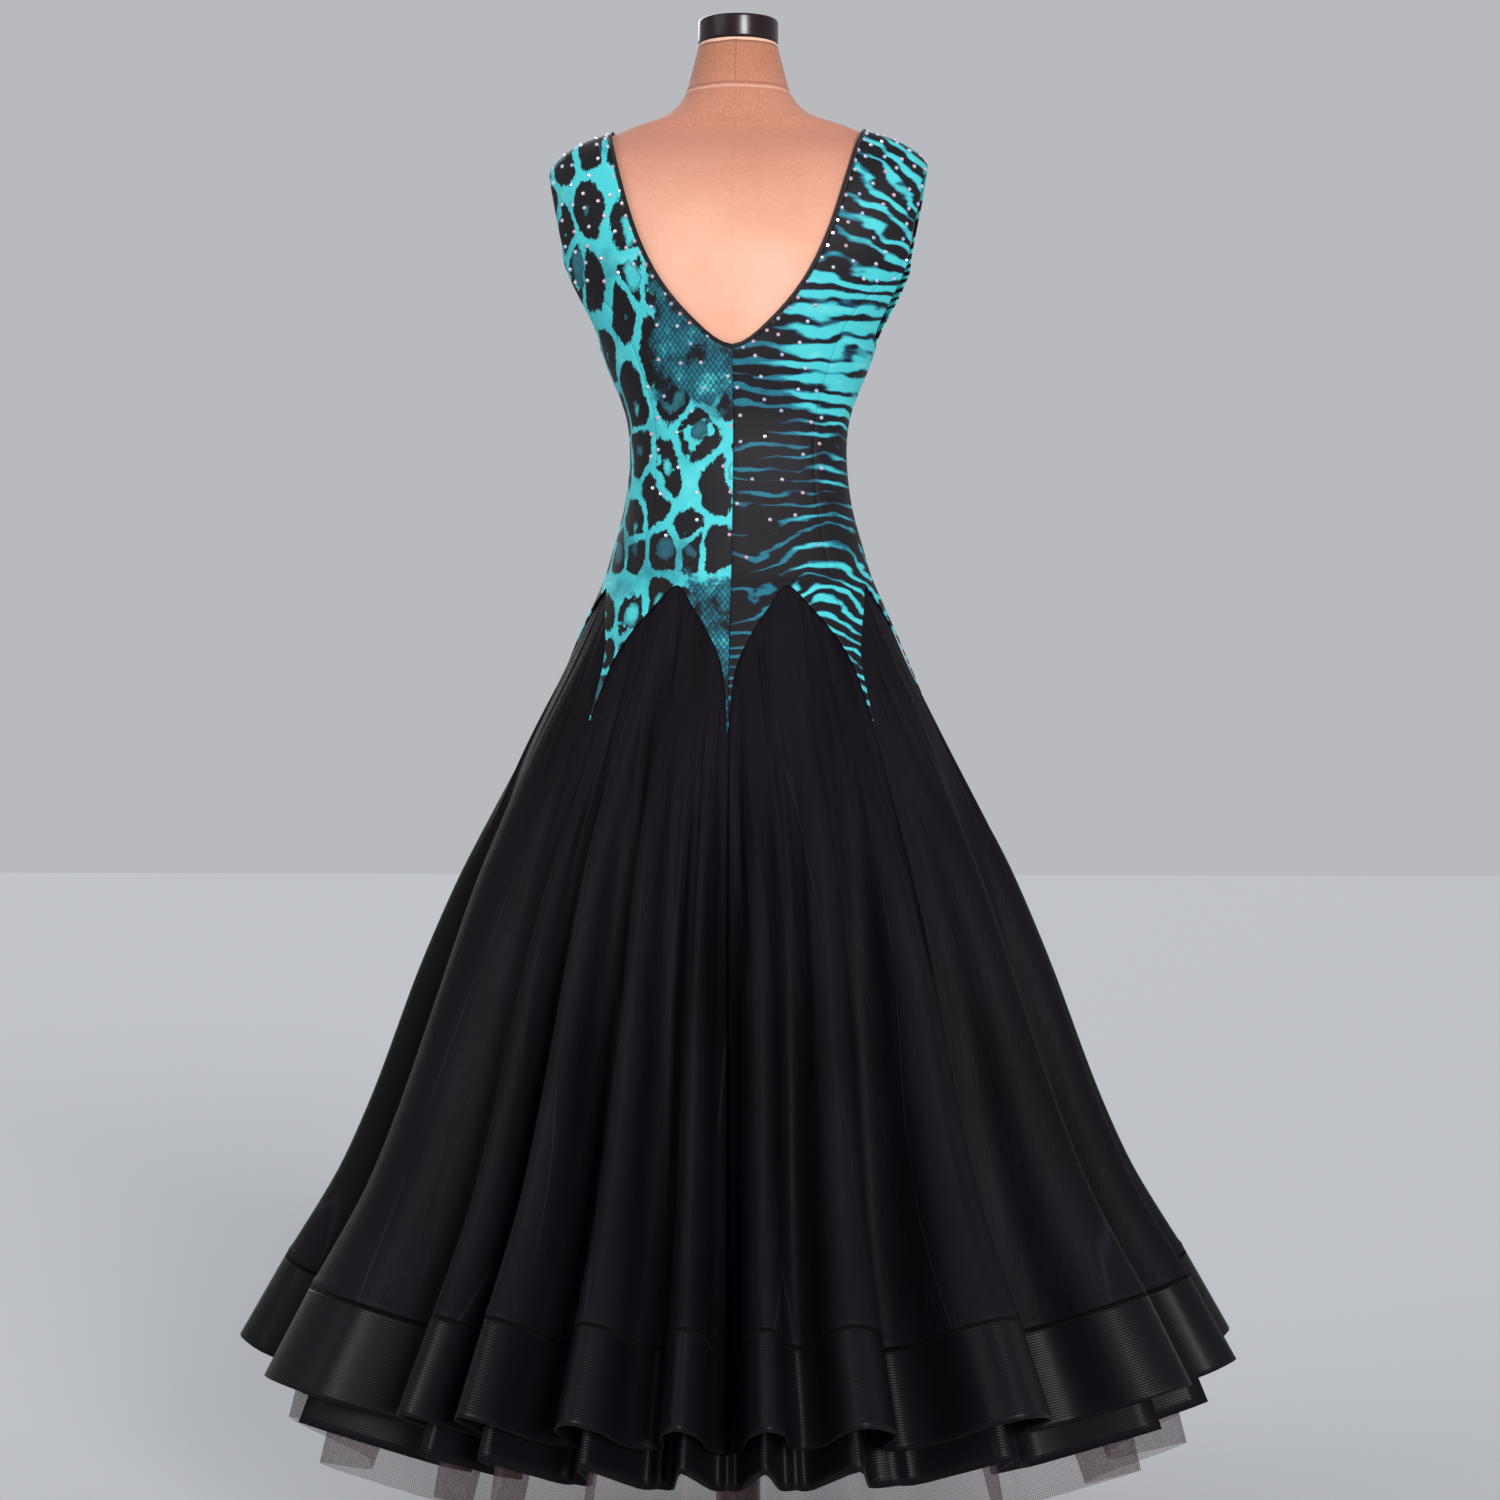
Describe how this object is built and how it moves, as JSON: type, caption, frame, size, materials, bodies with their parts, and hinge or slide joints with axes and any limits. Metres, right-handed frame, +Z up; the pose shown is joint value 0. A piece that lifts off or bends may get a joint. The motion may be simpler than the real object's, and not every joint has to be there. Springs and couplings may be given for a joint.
{
  "type": "ballroom dance dress on a dress form",
  "caption": "Sleeveless fitted dance dress with a V back, pointed lower bodice edge and a full fluted skirt over net, on a limbless form with a pole and round foot.",
  "frame": {"origin": "centre of the foot's underside, on the surface that the form stands on and on the pole's axis", "axes": "+Z up along the pole; the back of the dress faces -Y and the wearer's right is +X"},
  "size_m": [1.0895, 1.0302, 1.7223],
  "materials": {
    "striped_stretch_cloth": "matt printed stretch jersey",
    "spotted_stretch_cloth": "matt printed stretch jersey",
    "binding_satin": "black satin bias tape",
    "black_organza": "black satin organza with a soft sheen",
    "crinoline_braid": "black horsehair braid with fine ribs",
    "under_organza": "black organza",
    "under_braid": "black horsehair braid with fine ribs",
    "stiff_net": "stiff sheer net",
    "form_cloth": "tan jersey stretched over the form",
    "cap_lacquer": "dark glossy cap",
    "pole_lacquer": "dark red-brown lacquer"
  },
  "bodies": {
    "root": {"bodice_back_right": "striped_stretch_cloth", "bodice_side_back_right": "striped_stretch_cloth", "bodice_side_front_right": "striped_stretch_cloth", "bodice_back_left": "spotted_stretch_cloth", "bodice_side_back_left": "spotted_stretch_cloth", "bodice_side_front_left": "spotted_stretch_cloth", "bodice_front": "striped_stretch_cloth", "neck_binding": "binding_satin", "godet_back_right": "black_organza", "godet_side_back_right": "black_organza", "godet_side_front_right": "black_organza", "godet_front_right": "black_organza", "godet_front_left": "black_organza", "godet_side_front_left": "black_organza", "godet_side_back_left": "black_organza", "godet_back_left": "black_organza", "braid_back_right": "crinoline_braid", "braid_side_back_right": "crinoline_braid", "braid_side_front_right": "crinoline_braid", "braid_front_right": "crinoline_braid", "braid_front_left": "crinoline_braid", "braid_side_front_left": "crinoline_braid", "braid_side_back_left": "crinoline_braid", "braid_back_left": "crinoline_braid", "underskirt_back_right": "under_organza", "underskirt_side_back_right": "under_organza", "underskirt_side_front_right": "under_organza", "underskirt_front_right": "under_organza", "underskirt_front_left": "under_organza", "underskirt_side_front_left": "under_organza", "underskirt_side_back_left": "under_organza", "underskirt_back_left": "under_organza", "underbraid_back_right": "under_braid", "underbraid_side_back_right": "under_braid", "underbraid_side_front_right": "under_braid", "underbraid_front_right": "under_braid", "underbraid_front_left": "under_braid", "underbraid_side_front_left": "under_braid", "underbraid_side_back_left": "under_braid", "underbraid_back_left": "under_braid", "petticoat_back_right": "stiff_net", "petticoat_side_back_right": "stiff_net", "petticoat_side_front_right": "stiff_net", "petticoat_front_right": "stiff_net", "petticoat_front_left": "stiff_net", "petticoat_side_front_left": "stiff_net", "petticoat_side_back_left": "stiff_net", "petticoat_back_left": "stiff_net", "form_torso": "form_cloth", "form_neck_cap": "cap_lacquer", "form_pole": "pole_lacquer", "form_base": "pole_lacquer"}
  },
  "joints": []
}
